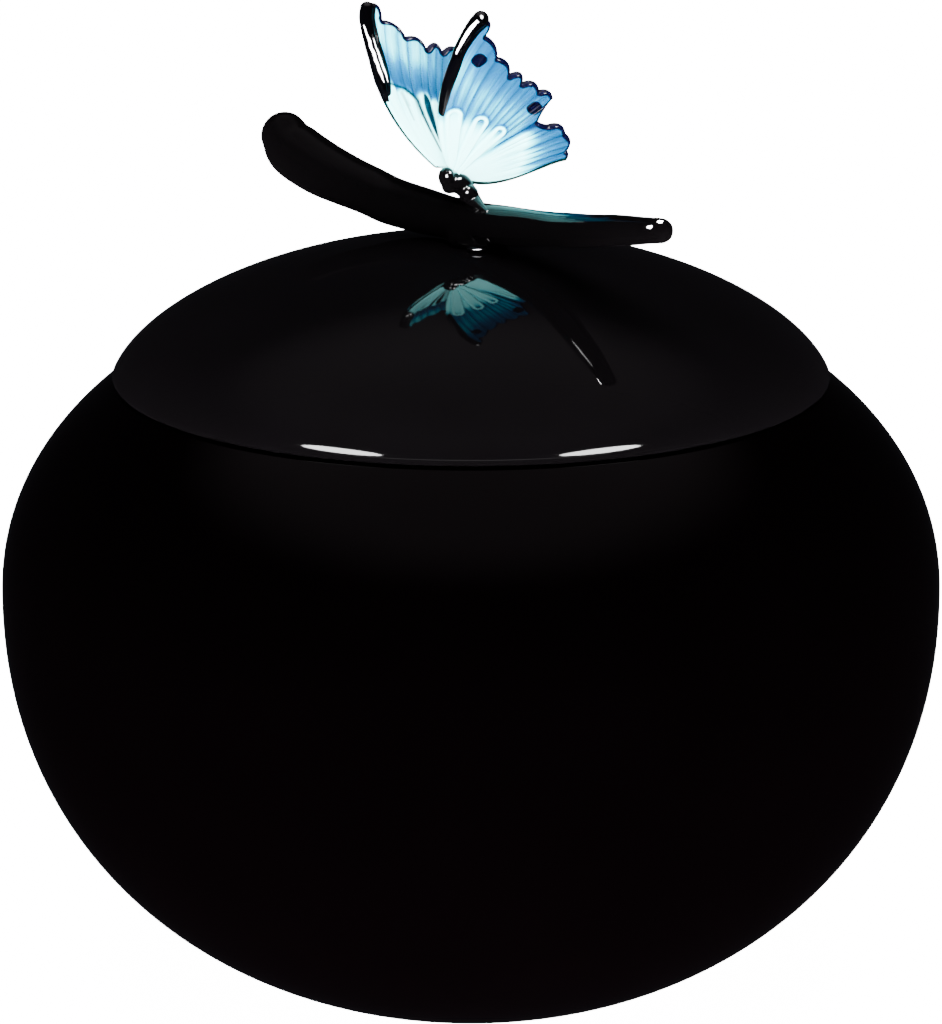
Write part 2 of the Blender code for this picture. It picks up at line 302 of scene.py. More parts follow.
def mix_colour(tree, amount, first, second):
    """First colour turning to second as the amount goes from 0 to 1."""
    made = add_node(tree, "ShaderNodeMix", data_type="RGBA")
    for index, value in zip(MIX_SOCKETS, (amount, first, second)):
        if isinstance(value, bpy.types.NodeSocket):
            tree.links.new(value, made.inputs[index])
        else:
            made.inputs[index].default_value = value
    return made.outputs[MIX_RESULT]


def noise_value(tree, coordinates, scale, detail=3.0, roughness=0.5):
    """Soft noise at the given coordinates."""
    sizes = {"Scale": scale, "Detail": detail, "Roughness": roughness}
    made = add_node(tree, "ShaderNodeTexNoise", inputs=sizes)
    tree.links.new(coordinates, made.inputs["Vector"])
    return made.outputs["Fac"]


def scaled(tree, value, low, high):
    """A value from 0 to 1 mapped to a range."""
    made = add_node(tree, "ShaderNodeMapRange", inputs={"To Min": low, "To Max": high})
    tree.links.new(value, made.inputs["Value"])
    return made.outputs["Result"]


def bump(tree, height, strength, distance, below=None):
    """A bump from a height, over an earlier one if given."""
    made = add_node(tree, "ShaderNodeBump", inputs={"Strength": strength, "Distance": distance})
    tree.links.new(height, made.inputs["Height"])
    if below is not None:
        tree.links.new(below, made.inputs["Normal"])
    return made.outputs["Normal"]


def black_glass(name, tone, gloss, smooth, rough, ripple, dust_grey):
    """Polished black glass: a faint ripple from the mould, soft smears and a few dust specks."""
    made, tree, shader = new_material(name)
    where = add_node(tree, "ShaderNodeTexCoord").outputs["Object"]
    smears = noise_value(tree, where, 34.0, detail=5.0, roughness=0.6)
    grains = noise_value(tree, where, 700.0, detail=1.0)
    dust = ramp(tree, grains, ((0.0, (0, 0, 0)), (0.81, (0, 0, 0)), (0.86, (1, 1, 1))))
    dark = mix_colour(tree, smears, (*tone, 1.0), (tone[0] * 1.7, tone[1] * 1.7, tone[2] * 1.9, 1.0))
    dusty = mix_colour(tree, dust, dark, (dust_grey, dust_grey, dust_grey, 1.0))
    tree.links.new(dusty, shader.inputs["Base Color"])
    tree.links.new(scaled(tree, smears, smooth, rough), shader.inputs["Roughness"])
    waves = bump(tree, noise_value(tree, where, 22.0, detail=1.0), 0.25, ripple)
    fine = noise_value(tree, where, 260.0, detail=2.0)
    tree.links.new(bump(tree, fine, 0.08, ripple * 0.2, waves), shader.inputs["Normal"])
    shader.inputs["IOR"].default_value = 1.5
    shader.inputs["Specular IOR Level"].default_value = gloss
    return made


def attribute(tree, name):
    """A number kept on the mesh."""
    return add_node(tree, "ShaderNodeAttribute", attribute_name=name).outputs["Fac"]


def clipped(tree, value, low, high):
    """A value as a step from 0 at low to 1 at high."""
    made = add_node(tree, "ShaderNodeMapRange", interpolation_type="SMOOTHSTEP")
    made.inputs["From Min"].default_value = low
    made.inputs["From Max"].default_value = high
    tree.links.new(value, made.inputs["Value"])
    return made.outputs["Result"]


# The wing's colour, as its tint goes from 0 at the root to 1 in the deepest blue; the near-white at the root
# is partly the glass's pale teal and partly painted light shining through it from behind
WING_COLOURS = (
    (0.0, (0.36, 0.97, 0.97)),
    (0.14, (0.09, 0.62, 0.69)),
    (0.3, (0.001, 0.27, 0.38)),
    (0.42, (0.0, 0.10, 0.22)),
    (0.56, (0.0, 0.058, 0.145)),
    (0.76, (0.0, 0.030, 0.085)),
    (1.0, (0.0005, 0.012, 0.048)),
)
VEIN_TEAL = (0.0, 0.010, 0.018, 1.0)
EDGE_NAVY = (0.0006, 0.0006, 0.006, 1.0)
# Dark paint by distance, as (number on the mesh, where it starts and where it is full in mm, colour)
DARK_PAINTS = (
    ("side", 1.35, 1.1, (0.0, 0.0045, 0.004, 1.0)),
    ("spot", 0.25, -0.1, (0.0004, 0.0004, 0.004, 1.0)),
    ("bead", 0.1, -0.05, (0.0003, 0.0003, 0.0006, 1.0)),
)


def wing_glass(name):
    """Milky glass from near-white at the root, partly painted light shining through its pale teal, through
    ice and sky blue to a navy edge, with navy spots.
    """
    made, tree, shader = new_material(name)
    where = add_node(tree, "ShaderNodeTexCoord").outputs["Object"]
    along = add_node(tree, "ShaderNodeTexCoord").outputs["UV"]
    stretch = add_node(tree, "ShaderNodeMapping", inputs={"Scale": (70.0, 2.0, 1.0)})
    tree.links.new(along, stretch.inputs["Vector"])
    streaks = noise_value(tree, stretch.outputs["Vector"], 1.0, roughness=0.6)
    clouds = noise_value(tree, where, 420.0)
    depth = add_node(tree, "ShaderNodeMath", operation="MULTIPLY_ADD", inputs={1: 0.36, 2: -0.18})
    tree.links.new(streaks, depth.inputs[0])
    total = add_node(tree, "ShaderNodeMath", operation="MULTIPLY_ADD")
    tree.links.new(depth.outputs[0], total.inputs[0])
    tree.links.new(attribute(tree, "streaky"), total.inputs[1])
    tree.links.new(attribute(tree, "tint"), total.inputs[2])
    body = ramp(tree, total.outputs[0], WING_COLOURS)
    body = mix_colour(tree, attribute(tree, "vein"), body, VEIN_TEAL)
    wobble = add_node(tree, "ShaderNodeMath", operation="MULTIPLY_ADD", inputs={1: 0.5, 2: -0.25})
    tree.links.new(noise_value(tree, where, 330.0, detail=2.0), wobble.inputs[0])
    edge = add_node(tree, "ShaderNodeMath", operation="ADD")
    tree.links.new(attribute(tree, "edge"), edge.inputs[0])
    tree.links.new(wobble.outputs[0], edge.inputs[1])
    body = mix_colour(tree, clipped(tree, edge.outputs[0], 1.15, 0.75), body, EDGE_NAVY)
    for key, start, full, paint in DARK_PAINTS:
        body = mix_colour(tree, clipped(tree, attribute(tree, key), start, full), body, paint)
    tree.links.new(body, shader.inputs["Base Color"])
    tree.links.new(scaled(tree, clouds, 0.05, 0.16), shader.inputs["Roughness"])
    tree.links.new(bump(tree, streaks, 0.35, 0.00012), shader.inputs["Normal"])
    shader.inputs["IOR"].default_value = 1.5
    shader.inputs["Subsurface Weight"].default_value = 0.35
    shader.inputs["Subsurface Radius"].default_value = (0.9, 1.0, 1.0)
    shader.inputs["Subsurface Scale"].default_value = 0.0006
    shader.inputs["Transmission Weight"].default_value = 0.05
    return made


def pale_floor():
    """A plain matt floor, nearly white, lit through like a photographer's table."""
    made, tree, shader = new_material("pale_floor")
    where = add_node(tree, "ShaderNodeTexCoord").outputs["Object"]
    grain = noise_value(tree, where, 60.0, detail=4.0)
    paper = mix_colour(tree, grain, (0.86, 0.86, 0.86, 1.0), (0.9, 0.9, 0.9, 1.0))
    tree.links.new(paper, shader.inputs["Base Color"])
    shader.inputs["Roughness"].default_value = 0.9
    shader.inputs["Specular IOR Level"].default_value = 0.1
    shader.inputs["Emission Color"].default_value = (1.0, 1.0, 1.0, 1.0)
    shader.inputs["Emission Strength"].default_value = 16.0
    return made


# Finishing a mesh

def finish_piece(name, work, surface, node=None, sharp=40):
    """Turn a bmesh into a smooth piece that rides on the urn, in place of a node if one is named."""
    bmesh.ops.recalc_face_normals(work, faces=work.faces)
    mesh = bpy.data.meshes.new(name)
    work.to_mesh(mesh)
    work.free()
    mesh.shade_smooth()
    mesh.set_sharp_from_angle(angle=math.radians(sharp))
    mesh.materials.append(surface)
    piece = bpy.data.objects.new(name, mesh)
    bpy.context.scene.collection.objects.link(piece)
    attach(piece, BODY)
    if node:
        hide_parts(node)
    return piece


def apply_modifiers(piece):
    """Bake the piece's modifiers into its mesh."""
    depsgraph = bpy.context.evaluated_depsgraph_get()
    mesh = bpy.data.meshes.new_from_object(piece.evaluated_get(depsgraph))
    piece.modifiers.clear()
    piece.data = mesh


# Turned pieces

def quarter(radius, height, power, start, stop, count):
    """Points of a full rounded quarter, between two angles in degrees above its equator."""
    points = []
    for index in range(count):
        angle = math.radians(start + (stop - start) * index / (count - 1))
        across = radius * math.cos(angle) ** (2 / power)
        up = math.copysign(height * abs(math.sin(angle)) ** (2 / power), angle)
        points.append((across, EQUATOR_HEIGHT + up))
    return points


def angle_at_height(height, rise, power):
    """The quarter's angle in degrees where it has risen this far."""
    return math.degrees(math.asin(min(1.0, abs(rise) / height) ** (power / 2)))


def dome_height(across):
    """The lid's outer surface at this distance from the axis."""
    inside = max(0.0, 1 - (across / LID_RADIUS) ** LID_POWER)
    return LID_BASE + LID_RISE * inside ** LID_FULLNESS


def round_corner(points, corner, before, after, radius, count=4):
    """Add a small round in place of a corner between two neighbours."""
    corner = Vector(corner)
    first = corner + (Vector(before) - corner).normalized() * radius
    last = corner + (Vector(after) - corner).normalized() * radius
    for index in range(count + 1):
        step = index / count
        point = first * (1 - step) ** 2 + corner * 2 * step * (1 - step) + last * step ** 2
        points.append((point.x, point.y))


def vessel_profile():
    """From the middle of the floor up the inside, over the mouth and down the outside."""
    inside = EQUATOR_RADIUS - WALL
    points = quarter(inside, INSIDE_BELLY_HEIGHT, INSIDE_BELLY_POWER, -90, 0, count=34)
    points[0] = (0.0, points[0][1])
    rise = MOUTH_HEIGHT - INNER_LIP_DROP - EQUATOR_HEIGHT
    top = angle_at_height(INSIDE_SHOULDER_HEIGHT, rise, SHOULDER_POWER)
    points += quarter(inside, INSIDE_SHOULDER_HEIGHT, SHOULDER_POWER, 0, top, count=20)[1:-1]
    inner_lip = (MOUTH_RADIUS, MOUTH_HEIGHT)
    outer_lip = (LAND_RADIUS + LAND_MARGIN, MOUTH_HEIGHT)
    top = angle_at_height(SHOULDER_HEIGHT, SHOULDER_TOP - EQUATOR_HEIGHT, SHOULDER_POWER)
    shoulder = quarter(EQUATOR_RADIUS, SHOULDER_HEIGHT, SHOULDER_POWER, top, 0, count=34)
    round_corner(points, inner_lip, points[-1], outer_lip, LIP_ROUND)
    round_corner(points, outer_lip, inner_lip, shoulder[0], LIP_ROUND)
    points += shoulder
    low = -angle_at_height(BELLY_HEIGHT, EQUATOR_HEIGHT - BELLY_LIFT, BELLY_POWER)
    belly = quarter(EQUATOR_RADIUS, BELLY_HEIGHT, BELLY_POWER, 0, low, count=48)[1:]
    points += belly[:-1]
    inner_foot = FOOT_RADIUS - FOOT_RING_WIDTH
    recess = inner_foot - RECESS_DEPTH
    round_corner(points, belly[-1], belly[-2], (inner_foot, 0.0), LIP_ROUND)
    round_corner(points, (inner_foot, 0.0), (FOOT_RADIUS, 0.0), (recess, RECESS_DEPTH), LIP_ROUND)
    round_corner(points, (recess, RECESS_DEPTH), (inner_foot, 0.0), (0.0, RECESS_DEPTH), LIP_ROUND)
    points += [(recess * part, RECESS_DEPTH) for part in (0.75, 0.5, 0.25, 0.0)]
    return points


def lid_profile():
    """From the middle of the dome down the outside, round the rim and collar and up inside."""
    points = []
    for index in range(DOME_STEPS + 1):
        across = (RIM_CENTRE + RIM_RADIUS * RIM_JOIN) * math.sin(math.radians(90) * index / DOME_STEPS)
        points.append((across, dome_height(across)))
    underside = MOUTH_HEIGHT + GAP
    for index in range(RIM_STEPS + 1):
        angle = math.radians(RIM_START_DEGREES - RIM_SWEEP_DEGREES * index / RIM_STEPS)
        across = RIM_CENTRE + RIM_RADIUS * math.cos(angle)
        points.append((across, underside + RIM_RADIUS + RIM_RADIUS * math.sin(angle)))
    inner = COLLAR_OUTER - COLLAR_WALL
    corner = (COLLAR_OUTER, COLLAR_BOTTOM)
    inner_corner = (inner, COLLAR_BOTTOM)
    points.append((COLLAR_OUTER, underside))
    round_corner(points, corner, (COLLAR_OUTER, underside), inner_corner, LIP_ROUND * 2)
    round_corner(points, inner_corner, corner, (inner, underside), LIP_ROUND * 2)
    for index in range(UNDERSIDE_STEPS + 1):
        across = inner * math.cos(math.radians(90) * index / UNDERSIDE_STEPS)
        depth = WALL * (1 + LID_WALL_SWELL * across / inner)
        points.append((across, dome_height(across) - depth))
    points[-1] = (0.0, points[-1][1])
    return points


def turned(name, profile, surface, node):
    """A profile spun about Z into one closed piece."""
    work = bmesh.new()
    dots = [work.verts.new((x, 0.0, z)) for x, z in profile]
    lines = [work.edges.new(pair) for pair in zip(dots, dots[1:])]
    bmesh.ops.spin(
        work,
        geom=dots + lines,
        cent=(0, 0, 0),
        axis=(0, 0, 1),
        angle=math.tau,
        steps=TURN_STEPS,
        use_merge=True,
        use_duplicate=False,
    )
    bmesh.ops.remove_doubles(work, verts=work.verts, dist=MERGE)
    return finish_piece(name, work, surface, node)


# The twig and the butterfly's body

def smooth_route(route, count):
    """Points read from a smooth curve through the route, each as a vector of four."""
    samples = []
    spans = len(route) - 1
    for index in range(count):
        place = spans * index / (count - 1)
        span = min(int(place), spans - 1)
        step = place - span
        before, start, stop, after = [Vector(route[max(0, min(spans, span + k))]) for k in (-1, 0, 1, 2)]
        pull = (stop - before) * 0.5
        push = (after - start) * 0.5
        square = step * step
        cube = square * step
        samples.append(
            start * (2 * cube - 3 * square + 1)
            + pull * (cube - 2 * square + step)
            + stop * (3 * square - 2 * cube)
            + push * (cube - square)
        )
    return samples


def round_ends(samples):
    """Rings of a rod with both ends closed by half balls."""
    rings = [(Vector(sample[:3]), sample[3]) for sample in samples]
    for end, beside in ((0, 1), (-1, -2)):
        centre, radius = rings[end]
        outward = (centre - rings[beside][0]).normalized()
        for angle in range(10, 91, 10):
            turn = math.radians(angle)
            ring = (centre + outward * radius * math.sin(turn), radius * math.cos(turn))
            rings.insert(0 if end == 0 else len(rings), ring)
    return rings


def add_rod(work, rings, sides):
    """A grid rolled into a tube along its rings, with its seam and both ends merged."""
    last = len(rings) - 1
    made = bmesh.ops.create_grid(work, x_segments=sides, y_segments=last, size=0.5)["verts"]
    for vert in made:
        turn = (vert.co.x + 0.5) * math.tau
        index = round((vert.co.y + 0.5) * last)
        centre, radius = rings[index]
        ahead = (rings[min(index + 1, last)][0] - rings[max(index - 1, 0)][0]).normalized()
        across = ahead.cross(UP).normalized()
        around = across * math.cos(turn) + across.cross(ahead) * math.sin(turn)
        vert.co = centre + around * radius
    bmesh.ops.remove_doubles(work, verts=made, dist=MERGE)


def hand_made(work, amount, scale):
    """Shift the surface by a soft noise, as hot glass drawn by hand."""
    work.normal_update()
    for vert in work.verts:
        vert.co += vert.normal * amount * noise.noise(vert.co * scale)


def melt(piece, voxel, rounds):
    """Fuse overlapping forms into one smooth skin."""
    remesh = piece.modifiers.new("fuse", "REMESH")
    remesh.mode = "VOXEL"
    remesh.voxel_size = voxel
    remesh.use_smooth_shade = True
    ease = piece.modifiers.new("ease", "CORRECTIVE_SMOOTH")
    ease.iterations = rounds
    ease.use_only_smooth = True
    apply_modifiers(piece)


def add_ball(work, centre, sizes):
    """A ball scaled to three half sizes."""
    made = bmesh.ops.create_uvsphere(work, u_segments=48, v_segments=24, radius=1.0)["verts"]
    place = Matrix.Translation(centre) @ Matrix.Diagonal((*sizes, 1.0))
    bmesh.ops.transform(work, matrix=place, verts=made)


def make_twig(surface):
    """The twig, melted together with the small foot that holds it to the lid."""
    work = bmesh.new()
    add_rod(work, round_ends(smooth_route(TWIG_ROUTE, count=90)), sides=40)
    hand_made(work, amount=0.00035, scale=70.0)
    add_ball(work, TWIG_FOOT_CENTRE, TWIG_FOOT_SIZE)
    piece = finish_piece("twig", work, surface, "twig_handle")
    melt(piece, voxel=0.00045, rounds=12)
    return piece


def cut_piece(piece, name, point, direction):
    """Cut off what lies beyond a plane as a piece of its own, and close both cuts."""
    parts = []
    for beyond in (False, True):
        work = bmesh.new()
        work.from_mesh(piece.data)
        cut = bmesh.ops.bisect_plane(
            work,
            geom=list(work.verts) + list(work.edges) + list(work.faces),
            plane_co=point,
            plane_no=direction,
            clear_outer=not beyond,
            clear_inner=beyond,
        )["geom_cut"]
        rim = [item for item in cut if isinstance(item, bmesh.types.BMEdge)]
        bmesh.ops.contextual_create(work, geom=rim)
        parts.append(work)
    surface = piece.data.materials[0]
    parts[0].to_mesh(piece.data)
    parts[0].free()
    piece.data.shade_smooth()
    piece.data.set_sharp_from_angle(angle=math.radians(CUT_SHARP))
    return finish_piece(name, parts[1], surface, "twig_handle", CUT_SHARP)


def make_drop(surface):
    """A small drop of glass that ran out in front of the twig's foot."""
    work = bmesh.new()
    add_ball(work, DROP_CENTRE, DROP_SIZE)
    hand_made(work, amount=0.00012, scale=300.0)
    return finish_piece("foot_drop", work, surface, "twig_handle")


def make_butterfly_body(surface):
    """Head, thorax and tail as one lump of black glass that runs out onto the twig."""
    work = bmesh.new()
    add_rod(work, round_ends(smooth_route(SPINE, count=40)), sides=32)
    add_ball(work, HEAD_CENTRE, HEAD_SIZE)
    add_ball(work, CHEST_CENTRE, CHEST_SIZE)
    hand_made(work, amount=0.00014, scale=420.0)
    piece = finish_piece("butterfly", work, surface, "butterfly_body")
    melt(piece, voxel=0.00014, rounds=6)
    return piece


# The wings

def wing_margin(lobe, along):
    """The wing's outer edge within one lobe, as forward and outward."""
    start = Vector(WING_NOTCHES[lobe])
    chord = Vector(WING_NOTCHES[lobe + 1]) - start
    outward = Vector((chord.y, -chord.x)).normalized()
    return start + chord * along + outward * LOBE_SWELL[lobe] * math.sin(math.pi * along) ** 0.8


def wing_point(across, out):
    """A point of the wing's plane: across runs from 0 to 1 round the margin, out from the root."""
    place = across * len(LOBE_SWELL)
    lobe = min(int(place), len(LOBE_SWELL) - 1)
    edge = wing_margin(lobe, min(1.0, max(0.0, place - lobe)))
    chord = edge - WING_ROOT
    sideways = Vector((chord.y, -chord.x)).normalized()
    leading = LEADING_BOW * max(0.0, 1 - across / LEADING_SHARE) ** 2 * 4 * out * (1 - out)
    rear = max(0.0, (across - (1 - TRAILING_SHARE)) / TRAILING_SHARE)
    trailing = TRAILING_BOW * rear ** 2 * 5.4 * out * (1 - out) ** 1.5
    return WING_ROOT + chord * out + sideways * (leading - trailing)


def smooth_step(value, low, high):
    """0 below low, 1 above high and an eased rise between."""
    step = min(1.0, max(0.0, (value - low) / (high - low)))
    return step * step * (3 - 2 * step)


def flutes(across, out):
    """Rounded ridges with sharp valleys that fan out to the margin, as a height from 0 to 1."""
    place = across * len(LOBE_SWELL)
    lobe = min(int(place), len(LOBE_SWELL) - 1)
    ridge = abs(math.sin(math.pi * LOBE_FLUTES[lobe] * (place - lobe))) ** 0.6
    lobe_ridge = abs(math.sin(math.pi * (place - lobe))) ** 0.5
    return (0.65 * ridge + 0.35 * lobe_ridge) * smooth_step(out, 0.28, 0.7)


def petal(point, spec):
    """A petal at a point: its outline's distance, below 0 inside, and the distance down from its tip."""
    half = spec[2]
    tip = Vector(spec[:2])
    axis = tip - WING_ROOT
    length = axis.length
    axis = axis / length
    down = (tip - point).dot(axis)
    along = min(1.0, max(0.0, (length - down) / (length - half)))
    radius = half * (0.4 + 0.6 * along)
    return (point - WING_ROOT - axis * along * (length - half)).length - radius, down


def petals(point):
    """The petals' rise and tint, with painted shade in each hollow and a painted shadow line round each rim,
    how far they cover the flutes and how far they calm the streaks.
    """
    rise, tint, cover, calm = 0.0, 0.0, 0.0, 0.0
    shadow_offset, shadow_width, shadow_length = PETAL_SHADOW_LINE
    for spec in PETALS:
        away, down = petal(point, spec)
        inside = smooth_step(-away, 0.0, PETAL_SLOPE)
        # The hollow's painted shade is full at the top of the pocket and fades downwards
        hollow_and_shade = smooth_step(-away, *HOLLOW_EDGE) * math.exp(-max(0.0, down - HOLLOW_START) / HOLLOW_FADE)
        # A painted shadow line just outside each petal's rim, fading down from its tip
        edge = math.exp(-((away - shadow_offset) / shadow_width) ** 2) * math.exp(-max(0.0, down) / shadow_length)
        rise = max(rise * (1 - inside), inside * (PETAL_HEIGHT - HOLLOW_DEPTH * hollow_and_shade))
        tint = tint * (1 - inside) + spec[3] * hollow_and_shade + PETAL_SHADOW_TINT * edge * (1 - inside)
        cover = max(cover, inside)
        calm = max(calm, smooth_step(-away, -CALM_REACH, 0.0))
    return rise, tint, cover, calm


def fork_groove(across, out):
    """The crease between the fore and hind wing."""
    gap = (across * len(LOBE_SWELL) - FORK_LOBE) * out
    return math.exp(-(gap / GROOVE_WIDTH) ** 2) * smooth_step(out, 0.2, 0.6)


def vein_paint(points):
    """Teal veins and a leaf-shaped cell, from 0 to 1."""
    paint = np.zeros(len(points))
    for start, stop, thick, thin, depth in VEINS:
        start, stop = np.array(start), np.array(stop)
        span = stop - start
        along = np.clip(((points - start) @ span) / (span @ span), 0.0, 1.0)
        away = np.linalg.norm(points - start - along[:, None] * span, axis=1)
        paint = np.maximum(paint, depth * np.clip(1.4 - away / (thick + (thin - thick) * along), 0, 1))
    start, stop = np.array(CELL[0]), np.array(CELL[1])
    span = stop - start
    along = np.clip(((points - start) @ span) / (span @ span), 0, 1)
    away = np.abs((points - start) @ np.array((span[1], -span[0])) / np.linalg.norm(span) + CELL_LEAN)
    half = 0.5 * CELL_WIDTH * np.sin(np.pi * along ** 0.55)
    return np.maximum(paint, np.clip((half - away) / CELL_SOFTNESS, 0, 1))


def white_limit(across, outer):
    """How far out the root's white reaches, at this place round the margin."""
    stops = OUTER_WHITE if outer else INNER_WHITE
    if across * len(LOBE_SWELL) >= FORK_LOBE:
        stops = HIND_WHITE
    for (start, low), (stop, high) in zip(stops, stops[1:]):
        if across <= stop:
            return low + (high - low) * (across - start) / (stop - start)
    return stops[-1][1]


def outer_tint(across, out, ridge, limit):
    """The outer face's tint: a painted highlight makes it paler on the ridges of the flutes, painted shade
    makes it deeper in their valleys, and it deepens outwards.
    """
    hind = across * len(LOBE_SWELL) >= FORK_LOBE
    fade = 0.13 if hind else 0.12
    start = smooth_step(out, limit - fade * 0.5, limit + fade * (0.5 + 0.8 * ridge))
    # Painted shade in the flutes' valleys and a painted highlight on their crests
    valley_shade = (0.72 if hind else 0.60) + 0.26 * smooth_step(out, 0.7, 1.0)
    crest_highlight = 0.28 + 0.34 * smooth_step(out, 0.66, 0.95)
    return start * (valley_shade + (crest_highlight - valley_shade) * ridge)


def inner_tint(across, out, ridge, limit):
    """The inner face's tint: deep blue next to the white, then streaks that pale towards the margin, paler
    on the ridges as a painted highlight.
    """
    fade = 0.05
    deep = 0.74
    start = smooth_step(out, limit - fade * 0.5, limit + fade * (0.5 + 0.8 * ridge))
    # The ridge term paints the crests paler: a painted highlight
    pale = 0.44 - 0.26 * ridge + 0.25 * smooth_step(across, 0.2, 0.34)
    return start * (deep + (pale - deep) * smooth_step(out, limit + 0.03, limit + 0.28))


def wing_tint(across, out, ridge, outer):
    """How far the colour has gone from white to deep blue, with painted shade in the valleys of the flutes.
    """
    face_tint = outer_tint if outer else inner_tint
    # Painted shade in the valleys between the flutes, even where the root is white
    hollow_and_shade = 0.09 * (1 - ridge) * smooth_step(out, 0.3, 0.6)
    return max(hollow_and_shade, face_tint(across, out, ridge, white_limit(across, outer)))


def edge_distances(points, lines):
    """Each point's distance from the nearest of many points."""
    nearest = np.empty(len(points))
    for start in range(0, len(points), 2000):
        chunk = points[start:start + 2000]
        nearest[start:start + 2000] = np.sqrt(((chunk[:, None] - lines[None]) ** 2).sum(2).min(1))
    return nearest


def bead_distance(points, name):
    """Each point's distance outside the bead, which counts as wider on the side of the wing's front edge."""
    nearest = np.full(len(points), 1.0)
    route = smooth_route(BEADS[name], count=90)
    for here, beyond in zip(route, route[1:]):
        forward, outward = points[:, 0] - here.x, points[:, 1] - here.y
        ahead = forward * (beyond.y - here.y) > outward * (beyond.x - here.x)
        away = np.hypot(forward, outward) - here.w - ahead * BLACK_AHEAD
        nearest = np.minimum(nearest, away)
    return nearest


def spot_distance(points):
    """Distance outside the nearest spot, below 0 inside."""
    away = []
    for spot in SPOTS:
        offset = np.abs(points - np.array(spot))
        away.append((offset ** SPOT_POWER).sum(1) ** (1 / SPOT_POWER))
    return np.min(away, axis=0) - SPOT_HALF


def wing_grid(work):
    """A flat grid with its UV map, and each vert's way round, way out and whether it is on the border."""
    columns = LOBE_COLUMNS * len(LOBE_SWELL)
    bmesh.ops.create_grid(work, x_segments=columns, y_segments=WING_ROWS, size=0.5)
    uv = work.loops.layers.uv.new("UVMap")
    for face in work.faces:
        for loop in face.loops:
            loop[uv].uv = (loop.vert.co.x + 0.5, loop.vert.co.y + 0.5)
    places = []
    for vert in work.verts:
        row = vert.co.y + 0.5
        out = ROOT_START + (1 - ROOT_START) * (1 - (1 - row) ** ROW_POWER)
        border = abs(vert.co.x) > 0.4999 or abs(vert.co.y) > 0.4999
        places.append((vert.co.x + 0.5, out, border))
    return places


def wing_distances(flats, name):
    """Each point's distances from the wing's edges, spots and bead, and its vein paint."""
    margin = np.array([tuple(wing_point(step / MARGIN_STEPS, 1.0)) for step in range(MARGIN_STEPS + 1)])
    outs = [ROOT_START + (1 - ROOT_START) * step / SIDE_STEPS for step in range(SIDE_STEPS + 1)]
    leading, trailing = [np.array([tuple(wing_point(side, out)) for out in outs]) for side in (0.0, 1.0)]
    return {
        "edge": edge_distances(flats, margin),
        "leading": edge_distances(flats, leading),
        "trailing": edge_distances(flats, trailing),
        "spot": spot_distance(flats),
        "vein": vein_paint(flats),
        "bead": bead_distance(flats, name),
    }


def make_wing(name, surface, outer_face):
    """One wing: two fluted sheets that meet in a rounded edge, with the numbers that its paint reads."""
    work = bmesh.new()
    places = wing_grid(work)
    layers = {key: work.verts.layers.float.new(key) for key in WING_NUMBERS}
    flats = np.array([tuple(wing_point(across, out)) for across, out, border in places])
    distances = wing_distances(flats, name)
    verts = list(work.verts)
    twins = bmesh.ops.duplicate(work, geom=verts + list(work.edges) + list(work.faces))
    twin_faces = [item for item in twins["geom"] if isinstance(item, bmesh.types.BMFace)]
    bmesh.ops.reverse_faces(work, faces=twin_faces)
    for index, vert in enumerate(verts):
        across, out, border = places[index]
        point = Vector(flats[index])
        away = {key: values[index] for key, values in distances.items()}
        inset = min(1.0, min(away["edge"], away["leading"], away["trailing"]) / EDGE_ROUND)
        half = 0.0 if border else WING_THICKNESS / 2 * math.sqrt(max(0.0, 1 - (1 - inset) ** 2))
        middle = WING_CAMBER * 4 * out * (1 - out)
        petal_rise, petal_shade, cover, calm = petals(point)
        ridge = flutes(across, out)
        groove = fork_groove(across, out)
        for twin, face in ((vert, 1), (twins["vert_map"][vert], -1)):
            outer = face == outer_face
            # The crease is darkened by painted shade along it
            tint = wing_tint(across, out, ridge, outer) + GROOVE_SHADE * groove
            if outer:
                relief = FLUTE_HEIGHT * ridge * (1 - cover) + petal_rise - GROOVE_DEPTH * groove
                # The petals' painted shade takes the place of the flutes' tint where the petals cover them
                tint = tint * (1 - cover) + petal_shade
                side = away["trailing"]
                navy = away["edge"]
            else:
                relief = FLUTE_HEIGHT * ridge - GROOVE_DEPTH * groove - VEIN_DEPTH * away["vein"]
                side = away["leading"] + FRONT_LINE_NARROWER
                navy = away["edge"] - NAVY_WIDER
            if border:
                side = min(away["leading"], away["trailing"])
            twin.co = (point.x, point.y, middle + face * (half + relief * inset))
            twin[layers["tint"]] = tint
            twin[layers["streaky"]] = smooth_step(out, 0.25, 0.6) * (1 - calm * outer)
            twin[layers["edge"]] = navy * MILLIMETRES
            twin[layers["side"]] = side * MILLIMETRES
            twin[layers["spot"]] = away["spot"] * MILLIMETRES if outer else NO_SPOT
            twin[layers["vein"]] = 0.0 if outer else away["vein"]
            twin[layers["bead"]] = away["bead"] * MILLIMETRES
    bmesh.ops.remove_doubles(work, verts=work.verts, dist=EDGE_MERGE)
    bmesh.ops.transform(work, matrix=wing_matrix(name), verts=work.verts)
    return finish_piece(name + "_glass", work, surface, name, sharp=60)


def wing_matrix(name):
    """Where a wing's own plane lies on the urn."""
    place, turn, size = WING_PLACES[name]
    turned_to = Euler([math.radians(angle) for angle in turn]).to_matrix().to_4x4()
    return Matrix.Translation(place) @ turned_to @ Matrix.Scale(size, 4)


def make_bead(name, surface):
    """The glossy black rod along the leading edge, fat at the tip and drawn to a point below."""
    work = bmesh.new()
    add_rod(work, round_ends(smooth_route(BEADS[name], count=60)), sides=28)
    hand_made(work, amount=0.00008, scale=500.0)
    bmesh.ops.transform(work, matrix=wing_matrix(name), verts=work.verts)
    return finish_piece(name + "_bead", work, surface, name)


# The studio

